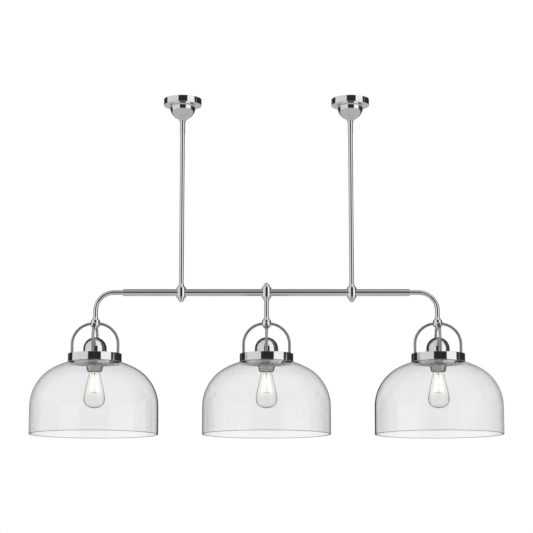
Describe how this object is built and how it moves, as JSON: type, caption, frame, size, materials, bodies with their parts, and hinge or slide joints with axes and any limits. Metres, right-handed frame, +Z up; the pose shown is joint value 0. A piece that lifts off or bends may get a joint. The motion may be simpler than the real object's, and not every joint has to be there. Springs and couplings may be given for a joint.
{
  "type": "linear island pendant",
  "caption": "Chrome linear island pendant: crossbar on swivelling down-rods with clear glass dome shades and filament bulbs.",
  "frame": {"origin": "on the ceiling plane, midway between the two canopies, which is the centre of both pairs of ceiling bolt holes", "axes": "+X along the crossbar towards the right shade, +Y away from the viewer, +Z up into the ceiling"},
  "size_m": [1.2899, 0.35, 0.9378],
  "materials": {
    "polished_chrome": "mirror polished plating",
    "zinc_plated_steel": "zinc plated, dull",
    "shade_glass": "clear, fire polished",
    "lamp_glass": "clear, thin blown",
    "lamp_brass": "bright, stamped",
    "nickel_brass": "stamped shell",
    "filament": "lit filament on a glass stem",
    "glazed_socket": "moulded phenolic",
    "silicone_gasket": "translucent matte",
    "lead_insulation": "smooth sleeve"
  },
  "bodies": {
    "ceiling_mount": {"mounting_strap_left": "zinc_plated_steel", "canopy_left": "polished_chrome", "swivel_seat_left": "polished_chrome", "mounting_strap_right": "zinc_plated_steel", "canopy_right": "polished_chrome", "swivel_seat_right": "polished_chrome", "seat_locknuts": "zinc_plated_steel", "canopy_screws": "polished_chrome", "supply_lead": "lead_insulation"},
    "hanging_frame": {"canopy_dome_left": "polished_chrome", "swivel_ball_left": "polished_chrome", "coupler_left": "polished_chrome", "down_rod_left": "polished_chrome", "rod_fitting_left": "polished_chrome", "elbow_left": "polished_chrome", "canopy_dome_right": "polished_chrome", "swivel_ball_right": "polished_chrome", "coupler_right": "polished_chrome", "down_rod_right": "polished_chrome", "rod_fitting_right": "polished_chrome", "elbow_right": "polished_chrome", "dome_collars": "polished_chrome", "bar_finials": "polished_chrome", "centre_fitting": "polished_chrome", "centre_stem": "polished_chrome", "crossbar": "polished_chrome", "bar_bushings": "polished_chrome", "hub_left": "polished_chrome", "arms_left": "polished_chrome", "ring_cap_left": "polished_chrome", "socket_cover_left": "polished_chrome", "retaining_cup_left": "polished_chrome", "glass_shade_left": "shade_glass", "hub_centre": "polished_chrome", "arms_centre": "polished_chrome", "ring_cap_centre": "polished_chrome", "socket_cover_centre": "polished_chrome", "retaining_cup_centre": "polished_chrome", "glass_shade_centre": "shade_glass", "hub_right": "polished_chrome", "arms_right": "polished_chrome", "ring_cap_right": "polished_chrome", "socket_cover_right": "polished_chrome", "retaining_cup_right": "polished_chrome", "glass_shade_right": "shade_glass", "arm_nuts": "zinc_plated_steel", "socket_bodies": "glazed_socket", "screw_shells": "nickel_brass", "shade_gaskets": "silicone_gasket", "internal_wiring": "lead_insulation"},
    "left_lamp": {"bulb_base_left": "lamp_brass", "bulb_glass_left": "lamp_glass", "bulb_filament_left": "filament"},
    "centre_lamp": {"bulb_base_centre": "lamp_brass", "bulb_glass_centre": "lamp_glass", "bulb_filament_centre": "filament"},
    "right_lamp": {"bulb_base_right": "lamp_brass", "bulb_glass_right": "lamp_glass", "bulb_filament_right": "filament"}
  },
  "joints": [
    {"name": "frame_swing", "type": "hinge", "parent": "ceiling_mount", "child": "hanging_frame", "pos_m": [0, 0, -0.0228], "axis": [1, 0, 0], "range_deg": [-15, 15]},
    {"name": "left_lamp_removal", "type": "slide", "parent": "hanging_frame", "child": "left_lamp", "axis": [0, 0, -1], "range_m": [0, 0.22]},
    {"name": "centre_lamp_removal", "type": "slide", "parent": "hanging_frame", "child": "centre_lamp", "axis": [0, 0, -1], "range_m": [0, 0.22]},
    {"name": "right_lamp_removal", "type": "slide", "parent": "hanging_frame", "child": "right_lamp", "axis": [0, 0, -1], "range_m": [0, 0.22]}
  ]
}
